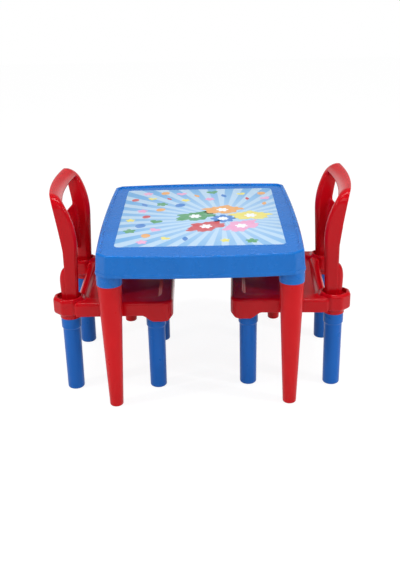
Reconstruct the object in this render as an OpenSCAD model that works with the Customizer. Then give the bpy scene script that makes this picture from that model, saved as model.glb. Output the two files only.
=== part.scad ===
// Children's table with two matching chairs, all in moulded plastic.
// Millimetres. X runs from chair to chair, Y from front to back, Z up from the floor.
// The origin lies on the floor under the middle of the whole set.

/* [Table top] */
// Width of the table top across the middle, from side to side
table_width = 514; // [480:1:620]
// Depth of the table top across the middle, from front to back
table_depth = 628; // [560:1:740]
// Height of the table, from the floor to the top of its rim
table_height = 422; // [400:1:520]
// How far each side edge bows out at its middle
side_bow = 7; // [3:0.5:12]
// How far the front and back edges bow out at their middle
front_bow = 11; // [4:0.5:16]
// Length that the flat across each front corner takes off the edges
corner_cut_front = 25; // [16:1:30]
// Length that the flat across each back corner takes off the edges
corner_cut_back = 17; // [14:1:30]
// Height of the apron round the table top
apron_height = 55; // [44:1:70]
// Thickness of the apron at its top
apron_wall = 3; // [2.5:0.1:4]
// How far the apron leans out from its top to its lip
apron_flare = 3; // [1:0.5:4]
// Height of the lip along the apron's lower edge
lip_height = 9; // [6:0.5:14]
// How far the lip stands out from the apron
lip_step = 1; // [0.5:0.1:2]
// Thickness of the table's panel
panel_thickness = 3; // [2.5:0.1:5]
// Width of the raised rim round the panel
rim_width = 10; // [8:0.5:14]
// Height of the rim above the panel
rim_height = 3.5; // [2:0.1:6]
// Size of the rounding along the rim's outer edge
rim_rounding = 5; // [2:0.5:6]
// Height of the ribs under the panel
table_rib_height = 12; // [6:0.5:20]
// Thickness of the ribs under the panel
table_rib_thickness = 2.5; // [1.5:0.1:4]

/* [Printed sheet] */
// Width of the printed sheet
sheet_width = 421; // [300:1:430]
// Depth of the printed sheet
sheet_depth = 494; // [360:1:500]
// Distance of the sheet's middle behind the table's middle
sheet_shift = 15; // [0:1:20]
// Thickness of the sheet, which lies flush in the panel
sheet_thickness = 0.5; // [0.4:0.1:1]
// Radius of the sheet's corners
sheet_corner = 14; // [4:1:30]
// Gap between the sheet and the edge of its recess
sheet_gap = 0.2; // [0.1:0.1:0.5]

/* [Table legs] */
// Distance of a leg's axis in from the table's side
leg_inset_side = 34.3; // [33:0.1:50]
// Distance of a leg's axis in from the table's front or back
leg_inset_front = 52.8; // [46:0.1:80]
// Radius of a leg just under its socket
leg_top_radius = 30.3; // [28.5:0.1:31]
// Radius of a leg at its foot
leg_foot_radius = 17.3; // [14:0.1:24]
// Radius of the rounding at a table leg's foot
leg_foot_rounding = 4; // [2:0.5:6]
// Wall thickness of a table leg
leg_wall = 2.5; // [2:0.1:4]
// Radius of the leg's plug inside the collar
leg_plug_radius = 28; // [26:0.1:28.2]
// Radius of the leg's neck above the plug
leg_neck_radius = 24; // [20:0.1:24.3]
// Height of the collar below the apron
collar_drop = 32; // [20:1:45]
// Outer radius of the collar
collar_radius = 31.5; // [31.2:0.1:32]

/* [Chair seat] */
// Distance between the axes of a chair's front and rear legs
chair_leg_spacing_deep = 221.4; // [200:0.1:260]
// Distance between the axes of a chair's left and right legs
chair_leg_spacing_wide = 283.4; // [260:0.1:300]
// Height of the seat's rim
seat_height = 256; // [240:1:270]
// How far the seat reaches past the front legs' axes
seat_front_reach = 46; // [38:1:56]
// How far the seat reaches past the legs' axes at its sides
seat_side_reach = 39; // [38:0.5:46]
// Distance of the seat's rear edge in front of the rear legs' axes
seat_rear_inset = 18.7; // [10:0.1:22]
// Radius of the seat's front corners
seat_corner = 30; // [16:1:36]
// Size of the rounding along the seat's upper edge
seat_rounding = 9; // [4:0.5:11]
// Height of the seat's apron
seat_apron = 37; // [30:1:42]
// Wall thickness of the seat
seat_wall = 3; // [2.5:0.1:4]
// Depth of the seat's dish
dish_depth = 9; // [4:0.5:12]
// Width of the rim between the dish and the front edge
dish_margin_front = 30; // [24:1:40]
// Width of the rim between the dish and the side edges
dish_margin_side = 35; // [28:1:48]
// Width of the rim between the dish and the rear edge
dish_margin_rear = 18; // [12:1:26]
// Radius of the dish's corners
dish_corner = 28; // [12:1:40]
// How far the skirts at the front corners reach below the apron
skirt_drop = 17; // [8:1:22]
// Height of the ribs under the seat
seat_rib_height = 10; // [5:0.5:18]
// Thickness of the ribs under the seat
seat_rib_thickness = 2.5; // [1.5:0.1:4]

/* [Chair sockets] */
// Height of a backrest socket above the seat's rim
block_rise = 9; // [5:0.5:16]
// How far a backrest socket's block reaches behind the rear legs' axes
block_rear_reach = 41; // [38:1:52]
// How far the block reaches inwards and forwards of the rear legs' axes
block_inner_reach = 38; // [37:0.5:44]
// Length that the flat across each rear corner takes off the block
block_cut = 25; // [18:1:28]
// Radius of the socket's mouth
mouth_radius = 30.5; // [29:0.1:31]
// Depth of the socket that holds the backrest
mouth_depth = 25; // [18:1:27]
// Thickness of the web between the backrest's plug and the leg's plug
socket_web = 3; // [2:0.5:5]
// Wall thickness round each socket
socket_wall = 3; // [2.5:0.1:3.4]
// Radial clearance of every plug in its socket
plug_clearance = 0.1; // [0.05:0.01:0.2]

/* [Chair legs] */
// Radius of a chair leg's plug in its socket
chair_plug_radius = 24; // [22:0.1:25]
// Radius of the collar at the top of a chair leg
chair_collar_radius = 25.5; // [25.2:0.1:27]
// Height of that collar
chair_collar_height = 30; // [16:1:50]
// Radius of a chair leg just below its collar
chair_leg_top_radius = 22.9; // [18:0.1:24]
// Radius of a chair leg at its foot
chair_foot_radius = 22; // [16:0.1:24]
// Radius of the rounding at a chair leg's foot
chair_foot_rounding = 5; // [2:0.5:7]
// Wall thickness of a chair leg
chair_leg_wall = 2.5; // [2:0.1:4]
// How far a leg's socket reaches below the seat's apron
socket_drop = 13; // [6:1:24]

/* [Chair backrest] */
// Height of the backrest's top above the floor
backrest_height = 531; // [500:1:580]
// Height of the splat's upper edge above the floor, which is the handhold's lower edge
splat_top = 428; // [400:1:460]
// Height of the splat's lower edge above the floor
splat_bottom = 302; // [290:1:340]
// Width of a post, seen from the front
post_width = 26; // [20:1:27]
// Depth of a post, from front to rear
post_depth = 38.7; // [36:0.1:39]
// How much less deep a post is at its foot
post_taper = 5.8; // [5.8:0.1:9]
// Height of the top rail
rail_height = 28; // [20:1:30]
// Radius of the shoulders, where the posts turn into the rail
shoulder_radius = 34; // [31:1:60]
// How far the middle of the rail lies behind its ends, as the backrest bows round the child
backrest_bow = 15; // [6:0.5:18]
// Distance of a post's middle in front of the rear legs' axes
post_advance = 13.4; // [10:0.1:13.4]
// How far the rail's rear lies behind the rear of the posts
backrest_lean = 22; // [14:1:26]
// Height at which the rear of the posts starts to lean
rear_lean_start = 380; // [350:1:400]
// How far the rail's upper front edge lies behind the front of the posts
front_fall = 40; // [24:1:42]
// Height at which the front of the posts starts to curve back
front_lean_start = 399; // [370:1:410]
// Wall thickness of the backrest's posts and rail
backrest_wall = 3; // [2:0.1:4]
// Thickness of the splat, which lies flush with the rear of the posts
splat_thickness = 4; // [3:0.5:6]
// Radius of the round heel behind each post
heel_radius = 20; // [16:0.5:22]
// Height of the heel's domed top above the seat's rim
heel_rise = 84; // [60:1:90]
// Height of the dome itself
heel_dome = 36; // [20:1:40]
// Height of the round foot in the seat's socket
foot_height = 15; // [10:1:17]

/* [Placing] */
// Distance of the table's middle to the left of the set's middle
table_shift = 7.7; // [0:0.1:15]
// How far the left chair's seat reaches under the table
left_tuck = 184.5; // [60:0.5:195]
// How far the right chair's seat reaches under the table
right_tuck = 175.2; // [60:0.5:195]
// Distance of the left chair's middle in front of the table's middle
left_shift = 18; // [-25:1:25]
// Distance of the right chair's middle in front of the table's middle
right_shift = 14; // [-25:1:25]
// How far the right chair is turned from square to the table, in degrees
right_turn = -2.3; // [-4:0.1:4]

/* [Hidden] */
$fn = 64;

blue = [0.07, 0.30, 0.66];
red = [0.74, 0.05, 0.09];
pale = [0.62, 0.80, 0.92];

// A cutting tool reaches this far past the face that it cuts.
over = 1;
// Two solids that are joined run this far into each other.
bite = 0.5;
// Height of the thin slices that a rounded body is stretched over
slice = 0.4;
// Steps in each rounded corner, in each bowed edge and in each rounded foot
corner_steps = 5;
bow_steps = 4;
foot_steps = 4;
// Steps in the long curve at the front of the backrest, and in the lean at its rear
front_steps = 10;
lean_steps = 5;
// How late those two curves turn back: 1 is a straight lean, and more keeps the lower part upright
front_power = 2.2;
lean_power = 1.15;
// Facets of the large circle that the backrest follows
arc_facets = 360;
// Number of ribs under the table's panel, across it and along it
table_ribs_across = 4;
table_ribs_along = 3;

// Heights in the table
apron_bottom = table_height - apron_height;
lip_top = apron_bottom + lip_height;
panel_top = table_height - rim_height;
panel_bottom = panel_top - panel_thickness;
collar_bottom = apron_bottom - collar_drop;
neck_bottom = apron_bottom + bite;

// Leg axes of the table
leg_x = table_width / 2 - leg_inset_side;
leg_y = table_depth / 2 - leg_inset_front;

// The seat, seen from above, from the middle of its four leg axes
leg_a = chair_leg_spacing_deep / 2;
leg_b = chair_leg_spacing_wide / 2;
seat_front = leg_a + seat_front_reach;
seat_rear = -leg_a + seat_rear_inset;
seat_side = leg_b + seat_side_reach;

// Heights in the seat
seat_bottom = seat_height - seat_apron;
plate_top = seat_height - dish_depth;
plate_bottom = plate_top - seat_wall;
block_top = seat_height + block_rise;
mouth_floor = block_top - mouth_depth;
plug_top = mouth_floor - socket_web;
socket_bottom = seat_bottom - socket_drop;
foot_top = mouth_floor + foot_height;
skirt_bottom = seat_bottom - skirt_drop;

// The backrest from the side: the middle, the front and the rear of the posts
post_middle = -leg_a + post_advance;
post_front = post_middle + post_depth / 2;
post_rear = post_middle - post_depth / 2;

// The backrest bows about an upright axis in front of it
backrest_half = leg_b + post_width / 2;
bow_radius = (backrest_half * backrest_half + backrest_bow * backrest_bow) / (2 * backrest_bow);
bow_axis = post_rear - backrest_bow + bow_radius;

// Half the width of the splat, which runs a little into the posts' inner walls
splat_half = leg_b - post_width / 2 + bite;

// ---- Outlines ----

function arc(cx, cy, r, from, to, steps) =
    [for (i = [0 : steps]) let (a = from + (to - from) * i / steps) [cx + r * cos(a), cy + r * sin(a)]];

function reversed(list) = [for (i = [len(list) - 1 : -1 : 0]) list[i]];

// A rectangle from low to high with one corner radius at its rear (low x) and one at its front
function rounded_box(low, high, rear, front) = concat(
    arc(high[0] - front, high[1] - front, front, 0, 90, corner_steps),
    arc(low[0] + rear, high[1] - rear, rear, 90, 180, corner_steps),
    arc(low[0] + rear, low[1] + rear, rear, 180, 270, corner_steps),
    arc(high[0] - front, low[1] + front, front, 270, 360, corner_steps)
);

// A quarter of the table's outline, from the middle of its side to the middle of its back
function table_quarter(grow, corner_cut) = let (
    corner_x = table_width / 2 - side_bow + grow,
    corner_y = table_depth / 2 - front_bow + grow,
    cut = corner_cut + (2 - sqrt(2)) * grow,
    end_x = corner_x - cut,
    end_y = corner_y - cut
) concat(
    [for (i = [0 : bow_steps]) let (t = i / bow_steps) [corner_x + side_bow * (1 - t * t), end_y * t]],
    [for (i = [bow_steps : -1 : 0]) let (t = i / bow_steps) [end_x * t, corner_y + front_bow * (1 - t * t)]]
);

// The table's whole outline, moved out by grow
function table_outline(grow) = let (
    back = table_quarter(grow, corner_cut_back),
    front = table_quarter(grow, corner_cut_front),
    last = len(back) - 1
) concat(
    back,
    [for (i = [last - 1 : -1 : 0]) [-back[i][0], back[i][1]]],
    [for (i = [1 : last]) [-front[i][0], -front[i][1]]],
    [for (i = [last - 1 : -1 : 1]) [front[i][0], -front[i][1]]]
);

// The seat's outline and the dish's outline, each moved in by inset
function seat_outline(inset) = rounded_box(
    [seat_rear + inset, -seat_side + inset], [seat_front - inset, seat_side - inset],
    seat_wall + bite, seat_corner - inset
);

function dish_outline(inset) = rounded_box(
    [seat_rear + dish_margin_rear + inset, -seat_side + dish_margin_side + inset],
    [seat_front - dish_margin_front - inset, seat_side - dish_margin_side - inset],
    dish_corner - inset, dish_corner - inset
);

// A socket block's outline about its leg axis, with its outer side towards +Y
function block_outline(inset) = let (
    rear = -block_rear_reach + inset,
    inner = block_inner_reach - inset,
    outer = seat_side_reach - inset,
    cut = block_cut - (2 - sqrt(2)) * inset
) [
    [inner, -inner], [inner, outer],
    [rear + cut, outer], [rear, outer - cut],
    [rear, -inner + cut], [rear + cut, -inner]
];

// A frame's outline seen from the front: upright sides, round shoulders and a straight top
function shoulders(half, bottom, top, radius) = concat(
    [[half, bottom]],
    arc(half - radius, top - radius, radius, 0, 90, corner_steps),
    arc(radius - half, top - radius, radius, 90, 180, corner_steps),
    [[-half, bottom]]
);

module slab(points, z, height) {
    translate([0, 0, z])
        linear_extrude(height)
            polygon(points);
}

// Extrudes an outline in Y and Z along X, from near to far
module along_x(points, near, far) {
    translate([near, 0, 0])
        rotate([90, 0, 90])
            linear_extrude(far - near)
                polygon(points);
}

// Extrudes an outline in X and Z along Y, over the given width
module along_y(points, width) {
    rotate([90, 0, 0])
        linear_extrude(width, center = true)
            polygon(points);
}

// ---- Table ----

module table_legs_at() {
    for (x = [-leg_x, leg_x])
        for (y = [-leg_y, leg_y])
            translate([x, y, 0])
                children();
}

module table_shell() {
    hull() {
        slab(table_outline(apron_flare), lip_top, slice);
        slab(table_outline(0), table_height - rim_rounding - slice, slice);
        slab(table_outline(-0.3 * rim_rounding), table_height - 0.3 * rim_rounding - slice, slice);
        slab(table_outline(-rim_rounding), table_height - slice, slice);
    }
    slab(table_outline(apron_flare + lip_step), apron_bottom, lip_height);
}

module table_ribs() {
    span_x = table_width / 2 - leg_inset_side - collar_radius;
    span_y = table_depth / 2 - leg_inset_front - collar_radius;
    intersection() {
        slab(table_outline(-apron_wall + bite), panel_bottom - table_rib_height, table_rib_height + bite);
        union() {
            for (i = [0 : table_ribs_along - 1])
                translate([span_x * (2 * i / (table_ribs_along - 1) - 1), 0, panel_bottom])
                    cube([table_rib_thickness, table_depth, 2 * table_rib_height], center = true);
            for (i = [0 : table_ribs_across - 1])
                translate([0, span_y * (2 * i / (table_ribs_across - 1) - 1), panel_bottom])
                    cube([table_width, table_rib_thickness, 2 * table_rib_height], center = true);
        }
    }
}

module table_sockets() {
    table_legs_at() {
        translate([0, 0, collar_bottom])
            cylinder(r = collar_radius, h = collar_drop + bite);
        translate([0, 0, apron_bottom])
            cylinder(
                r = leg_neck_radius + plug_clearance + socket_wall,
                h = panel_bottom - apron_bottom + bite
            );
    }
}

module table_bores() {
    table_legs_at() {
        translate([0, 0, collar_bottom - over])
            cylinder(r = leg_plug_radius + plug_clearance, h = neck_bottom - collar_bottom + over);
        translate([0, 0, collar_bottom])
            cylinder(r = leg_neck_radius + plug_clearance, h = panel_bottom - collar_bottom);
    }
}

function sheet_outline(grow) = rounded_box(
    [-sheet_width / 2 - grow, sheet_shift - sheet_depth / 2 - grow],
    [sheet_width / 2 + grow, sheet_shift + sheet_depth / 2 + grow],
    sheet_corner + grow, sheet_corner + grow
);

module table_top() {
    color(blue)
        difference() {
            union() {
                difference() {
                    table_shell();
                    slab(table_outline(-apron_wall), apron_bottom - over, panel_bottom - apron_bottom + over);
                }
                table_sockets();
                table_ribs();
            }
            slab(table_outline(-rim_width), panel_top, rim_height + over);
            slab(sheet_outline(sheet_gap), panel_top - sheet_thickness, sheet_thickness + over);
            table_bores();
        }
}

module table_print() {
    color(pale)
        slab(sheet_outline(0), panel_top - sheet_thickness, sheet_thickness);
}

module table_leg(side, end) {
    neck_top = panel_bottom;
    step = neck_bottom;
    color(red)
        translate([side * leg_x, end * leg_y, 0])
            rotate_extrude()
                polygon(concat(
                    [[0, 0]],
                    arc(leg_foot_radius - leg_foot_rounding, leg_foot_rounding, leg_foot_rounding,
                        -90, 0, foot_steps),
                    [
                        [leg_top_radius, collar_bottom],
                        [leg_plug_radius, collar_bottom],
                        [leg_plug_radius, step],
                        [leg_neck_radius, step],
                        [leg_neck_radius, neck_top],
                        [leg_neck_radius - leg_wall, neck_top],
                        [leg_neck_radius - leg_wall, step - leg_wall],
                        [leg_foot_radius - leg_wall, leg_foot_rounding + leg_wall],
                        [0, leg_foot_rounding + leg_wall]
                    ]
                ));
}

// ---- Chairs ----

module chair_legs_at() {
    for (x = [-leg_a, leg_a])
        for (y = [-leg_b, leg_b])
            translate([x, y, 0])
                children();
}

// Places its children at the two rear leg axes, mirrored so that their outer side is +Y
module rear_sockets_at() {
    for (side = [0, 1])
        mirror([0, side, 0])
            translate([-leg_a, leg_b, 0])
                children();
}

module seat_shell() {
    hull() {
        slab(seat_outline(0), seat_bottom, seat_apron - seat_rounding);
        slab(seat_outline(0.3 * seat_rounding), seat_bottom, seat_apron - 0.3 * seat_rounding);
        slab(seat_outline(seat_rounding), seat_bottom, seat_apron);
    }
}

module socket_block() {
    lower = 0.5 * seat_rounding;
    hull() {
        slab(block_outline(lower), seat_bottom, slice);
        slab(block_outline(0), seat_bottom + lower, block_top - lower - seat_bottom - lower);
        slab(block_outline(lower), block_top - slice, slice);
    }
}

module seat_hollow() {
    slab(seat_outline(seat_wall), skirt_bottom - over, plate_bottom - skirt_bottom + over);
    rear_sockets_at()
        slab(
            block_outline(seat_wall + 0.5 * seat_rounding),
            seat_bottom - over, plate_bottom - seat_bottom + over
        );
}

// The skirt round each front corner, cut to a sagging lower edge
module front_skirts() {
    rear = leg_a - seat_side_reach + 2 * seat_wall;
    middle = leg_b - seat_side_reach;
    intersection() {
        difference() {
            slab(seat_outline(0), skirt_bottom, skirt_drop + bite);
            slab(seat_outline(seat_wall), skirt_bottom - over, skirt_drop + 2 * over);
            cube([2 * seat_front + over, 2 * middle, 2 * seat_height], center = true);
        }
        along_y([
            [rear, seat_bottom + over],
            [rear + 0.3 * seat_side_reach, seat_bottom - 0.6 * skirt_drop],
            [rear + 0.7 * seat_side_reach, skirt_bottom],
            [seat_front - seat_rounding, skirt_bottom],
            [seat_front, skirt_bottom + seat_rounding],
            [seat_front, seat_bottom + over]
        ], 2 * seat_side + over);
    }
}

module seat_ribs() {
    low = plate_bottom - seat_rib_height;
    height = seat_rib_height + bite;
    for (y = [-leg_b / 2, 0, leg_b / 2])
        translate([seat_rear + bite, y - seat_rib_thickness / 2, low])
            cube([seat_front - seat_rear - seat_wall, seat_rib_thickness, height]);
    for (x = [seat_rear + leg_a / 2, leg_a / 3])
        translate([x, -seat_side + bite, low])
            cube([seat_rib_thickness, 2 * seat_side - 2 * bite, height]);
}

module seat_sockets() {
    chair_legs_at()
        translate([0, 0, socket_bottom])
            cylinder(
                r = chair_plug_radius + plug_clearance + socket_wall,
                h = plate_bottom - socket_bottom + bite
            );
    rear_sockets_at()
        translate([0, 0, plug_top])
            cylinder(r = mouth_radius + socket_wall, h = block_top - plug_top - seat_rounding);
}

module seat_bores() {
    chair_legs_at()
        translate([0, 0, socket_bottom - over])
            cylinder(r = chair_plug_radius + plug_clearance, h = plug_top - socket_bottom + over);
    rear_sockets_at()
        translate([0, 0, mouth_floor])
            cylinder(r = mouth_radius, h = mouth_depth + over);
}

module chair_seat() {
    color(red)
        difference() {
            union() {
                difference() {
                    union() {
                        seat_shell();
                        rear_sockets_at()
                            socket_block();
                        front_skirts();
                    }
                    seat_hollow();
                    hull() {
                        slab(dish_outline(0), seat_height, over);
                        slab(dish_outline(0.6 * dish_depth), plate_top, over);
                    }
                }
                seat_sockets();
                seat_ribs();
            }
            seat_bores();
        }
}

module chair_leg(front, side) {
    step = socket_bottom - chair_collar_height;
    inner = chair_leg_top_radius - chair_leg_wall;
    color(blue)
        translate([front * leg_a, side * leg_b, 0])
            rotate_extrude()
                polygon(concat(
                    [[0, 0]],
                    arc(chair_foot_radius - chair_foot_rounding, chair_foot_rounding, chair_foot_rounding,
                        -90, 0, foot_steps),
                    [
                        [chair_leg_top_radius, step],
                        [chair_collar_radius, step + chair_collar_radius - chair_leg_top_radius],
                        [chair_collar_radius, socket_bottom],
                        [chair_plug_radius, socket_bottom],
                        [chair_plug_radius, plug_top],
                        [inner, plug_top],
                        [inner, step],
                        [chair_foot_radius - chair_leg_wall, chair_foot_rounding + chair_leg_wall],
                        [0, chair_foot_rounding + chair_leg_wall]
                    ]
                ));
}

// The front edge of the backrest's end from the side, moved in by inset: it rises straight up the posts
// and then curves back
function backrest_front(inset) = let (
    rise = backrest_height - front_lean_start
) concat(
    [[post_front - post_taper - inset, foot_top - bite]],
    [for (i = [0 : front_steps]) let (t = i / front_steps)
        [post_front - inset - front_fall * pow(t, front_power), front_lean_start + rise * t]]
);

// The rear edge from the side, from the rail's top down to the foot
function backrest_rear() = let (
    rise = backrest_height - rear_lean_start
) concat(
    [for (i = [lean_steps : -1 : 0]) let (t = i / lean_steps)
        [post_rear - backrest_lean * pow(t, lean_power), rear_lean_start + rise * t]],
    [[post_rear, foot_top - bite]]
);

// The posts and the top rail seen from the front, moved in by inset on both edges
module frame_ring(inset, low, near, far) {
    inner = inset - post_width;
    difference() {
        along_x(
            shoulders(backrest_half - inset, low + inset, backrest_height - inset, shoulder_radius - inset),
            near, far
        );
        along_x(
            shoulders(
                backrest_half + inner, low - over,
                backrest_height - rail_height + inset, shoulder_radius + inner
            ),
            near - over, far + over
        );
    }
}

// Turns an outline in X and Z, as it is at the backrest's ends, about the axis of the bow
module bowed(points) {
    translate([bow_axis, 0, 0])
        rotate_extrude($fn = arc_facets)
            polygon([for (p = points) [bow_axis + backrest_bow - p[0], p[1]]]);
}

// The posts and the top rail: a channel that is open towards the rear
module backrest_frame() {
    low = foot_top - bite;
    behind = post_rear - backrest_lean - backrest_bow - over;
    difference() {
        intersection() {
            frame_ring(0, low, behind, 0);
            bowed(concat(backrest_front(0), backrest_rear()));
        }
        intersection() {
            frame_ring(backrest_wall, low, behind, 0);
            bowed(concat(
                backrest_front(backrest_wall),
                [[behind - over, backrest_height], [behind - over, low]]
            ));
        }
    }
}

// The thin sheet between the posts, which bows and leans with their rear
module splat() {
    rear = backrest_rear();
    front = [for (p = reversed(rear)) [p[0] + splat_thickness, p[1]]];
    intersection() {
        along_x(
            [
                [splat_half, splat_bottom], [splat_half, splat_top],
                [-splat_half, splat_top], [-splat_half, splat_bottom]
            ],
            post_rear - backrest_lean - backrest_bow - over, 0
        );
        bowed(concat(rear, front));
    }
}

// The round foot in the seat's socket, and the domed heel that backs the post above it
module backrest_foot() {
    low = foot_top - bite;
    shoulder = seat_height + heel_rise - heel_dome;
    translate([-leg_a, leg_b, mouth_floor])
        cylinder(r = mouth_radius - plug_clearance, h = foot_height);
    translate([-leg_a, leg_b, 0])
        rotate_extrude()
            polygon(concat(
                [[0, low], [heel_radius, low]],
                [for (i = [0 : corner_steps]) let (a = 90 * i / corner_steps)
                    [heel_radius * cos(a), shoulder + heel_dome * sin(a)]]
            ));
}

module chair_backrest() {
    color(red)
        union() {
            backrest_frame();
            splat();
            for (side = [0, 1])
                mirror([0, side, 0])
                    backrest_foot();
        }
}

// ---- Placing ----

module at_table() {
    translate([-table_shift, 0, 0])
        children();
}

module at_left() {
    at_table()
        translate([left_tuck - table_width / 2 - seat_front, -left_shift, 0])
            children();
}

module at_right() {
    at_table()
        translate([seat_front + table_width / 2 - right_tuck, -right_shift, 0])
            rotate([0, 0, 180 + right_turn])
                children();
}

at_table() table_top();
at_table() table_print();
at_table() table_leg(-1, -1);  // table_leg_front_left
at_table() table_leg(1, -1);  // table_leg_front_right
at_table() table_leg(-1, 1);  // table_leg_back_left
at_table() table_leg(1, 1);  // table_leg_back_right
at_left() chair_seat();  // left_chair_seat
at_left() chair_backrest();  // left_chair_backrest
at_left() chair_leg(1, -1);  // left_chair_leg_front_near
at_left() chair_leg(1, 1);  // left_chair_leg_front_far
at_left() chair_leg(-1, -1);  // left_chair_leg_rear_near
at_left() chair_leg(-1, 1);  // left_chair_leg_rear_far
at_right() chair_seat();  // right_chair_seat
at_right() chair_backrest();  // right_chair_backrest
at_right() chair_leg(1, 1);  // right_chair_leg_front_near
at_right() chair_leg(1, -1);  // right_chair_leg_front_far
at_right() chair_leg(-1, 1);  // right_chair_leg_rear_near
at_right() chair_leg(-1, -1);  // right_chair_leg_rear_far
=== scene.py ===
import math

import bpy
import numpy as np
from mathutils import Matrix, Vector
from mathutils.geometry import tessellate_polygon


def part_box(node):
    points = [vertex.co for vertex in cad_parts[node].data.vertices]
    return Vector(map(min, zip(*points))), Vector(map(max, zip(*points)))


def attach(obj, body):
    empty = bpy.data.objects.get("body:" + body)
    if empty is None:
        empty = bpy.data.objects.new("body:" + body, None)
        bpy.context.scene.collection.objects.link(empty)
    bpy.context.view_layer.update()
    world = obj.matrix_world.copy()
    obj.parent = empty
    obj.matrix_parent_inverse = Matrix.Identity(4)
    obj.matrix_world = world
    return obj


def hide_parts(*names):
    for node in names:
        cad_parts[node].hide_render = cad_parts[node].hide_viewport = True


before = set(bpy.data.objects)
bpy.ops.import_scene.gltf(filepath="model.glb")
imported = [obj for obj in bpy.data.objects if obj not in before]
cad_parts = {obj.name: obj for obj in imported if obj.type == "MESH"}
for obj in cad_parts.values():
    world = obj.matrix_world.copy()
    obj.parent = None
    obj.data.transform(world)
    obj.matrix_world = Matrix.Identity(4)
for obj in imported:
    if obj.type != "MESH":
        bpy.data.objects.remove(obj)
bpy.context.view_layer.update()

# Sizes are in millimetres, apart from those of the materials and of the last section, in metres.
MM = 0.001


# ---- Places, read from the frame ----

def box_mm(node):
    """A node's lowest and highest corner at rest."""
    low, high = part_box(node)
    return np.array(low) / MM, np.array(high) / MM


def middle_mm(node):
    low, high = box_mm(node)
    return (low + high) / 2


def chair_place(side):
    """Matrix from a chair's own axes, with x forwards from the middle of its four legs, to the frame."""
    def between_legs(end):
        return (middle_mm(f"{side}_chair_leg_{end}_near") + middle_mm(f"{side}_chair_leg_{end}_far")) / 2

    front, rear = between_legs("front"), between_legs("rear")
    forward = front - rear
    centre = (front + rear) / 2
    turn = Matrix.Rotation(math.atan2(forward[1], forward[0]), 4, "Z")
    return Matrix.Translation(Vector((centre[0] * MM, centre[1] * MM, 0))) @ turn


def distance_between(node_a, node_b):
    """How far apart two nodes stand, seen from above."""
    a, b = middle_mm(node_a), middle_mm(node_b)
    return math.hypot(a[0] - b[0], a[1] - b[1])


# ---- Materials ----

# The Mix node's colour sockets share their names with others, so they are found by number.
MIX_SHARE, MIX_FIRST, MIX_SECOND, MIX_RESULT = 0, 6, 7, 2
# How strongly the printed film and its inks mirror light, from 0 to 1.
PRINT_LEVEL = 0.25


def srgb(red, green, blue):
    """A colour given as it shows on a screen, from 0 to 255, as Blender's linear numbers."""
    def linear(value):
        share = value / 255
        return share / 12.92 if share <= 0.04045 else ((share + 0.055) / 1.055) ** 2.4
    return (linear(red), linear(green), linear(blue), 1.0)


def shade(colour, factor):
    """The same colour, darker or brighter."""
    return tuple(min(1.0, part * factor) for part in colour[:3]) + (1.0,)


class Nodes:
    """Short names for making the nodes of a new material or world."""

    def __init__(self, owner):
        owner.use_nodes = True
        self.owner = owner
        self.tree = owner.node_tree
        self.shader = self.tree.nodes.get("Principled BSDF")
        self.coordinates = self.add("ShaderNodeTexCoord").outputs

    def add(self, kind, inputs=None, **settings):
        """A new node of a kind, with its settings and its inputs."""
        node = self.tree.nodes.new(kind)
        for key, value in settings.items():
            setattr(node, key, value)
        return self.fill(node, inputs or {})

    def fill(self, node, inputs):
        """Gives a node's inputs, by name or number, a value or another node's output."""
        for key, value in inputs.items():
            if isinstance(value, bpy.types.NodeSocket):
                self.tree.links.new(value, node.inputs[key])
            else:
                node.inputs[key].default_value = value
        return node

    def noise(self, scale, detail, stretch=None):
        """Noise that stays with the object. A higher scale is finer."""
        place = self.coordinates["Object"]
        if stretch:
            place = self.add("ShaderNodeMapping", {"Scale": stretch, "Vector": place}).outputs["Vector"]
        node = self.add("ShaderNodeTexNoise", {"Scale": scale, "Detail": detail, "Vector": place})
        return node.outputs["Fac"]

    def ramp(self, value, stops):
        """A colour that follows a value through stops, each a place and a colour."""
        node = self.add("ShaderNodeValToRGB", {"Fac": value})
        elements = node.color_ramp.elements
        while len(elements) < len(stops):
            elements.new(0.5)
        for element, (place, colour) in zip(elements, stops):
            element.position = place
            element.color = colour
        return node.outputs["Color"]

    def spread(self, value, low, high, from_low=0.3, from_high=0.7):
        """Goes from low to high as a value goes from from_low to from_high, which suits noise as it is."""
        ends = {"From Min": from_low, "From Max": from_high, "To Min": low, "To Max": high}
        return self.add("ShaderNodeMapRange", {"Value": value, **ends}).outputs["Result"]

    def choose(self, share, first, second):
        """The first value where a share is 0, and the second where it is 1."""
        return self.spread(share, first, second, from_low=0, from_high=1)

    def math(self, operation, *values):
        """An operation on one or two values."""
        return self.add("ShaderNodeMath", dict(enumerate(values)), operation=operation).outputs["Value"]

    def mix(self, share, first, second):
        """Goes from the first colour to the second as the share goes from 0 to 1."""
        inputs = {MIX_SHARE: share, MIX_FIRST: first, MIX_SECOND: second}
        return self.add("ShaderNodeMix", inputs, data_type="RGBA").outputs[MIX_RESULT]

    def rays(self, *kinds):
        """1 for a ray of any of these kinds, and 0 for others."""
        path = self.add("ShaderNodeLightPath").outputs
        result = path[kinds[0]]
        for kind in kinds[1:]:
            result = self.math("MAXIMUM", result, path[kind])
        return result

    def finish(self, colour, roughness, level):
        """Sets the shader's colour, roughness and specular level."""
        self.fill(self.shader, {"Base Color": colour, "Roughness": roughness, "Specular IOR Level": level})

    def bump(self, height, strength, distance):
        """A relief of a height, a strength and a depth in metres."""
        node = self.add("ShaderNodeBump", {"Strength": strength, "Distance": distance, "Height": height})
        self.fill(self.shader, {"Normal": node.outputs["Normal"]})


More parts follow.
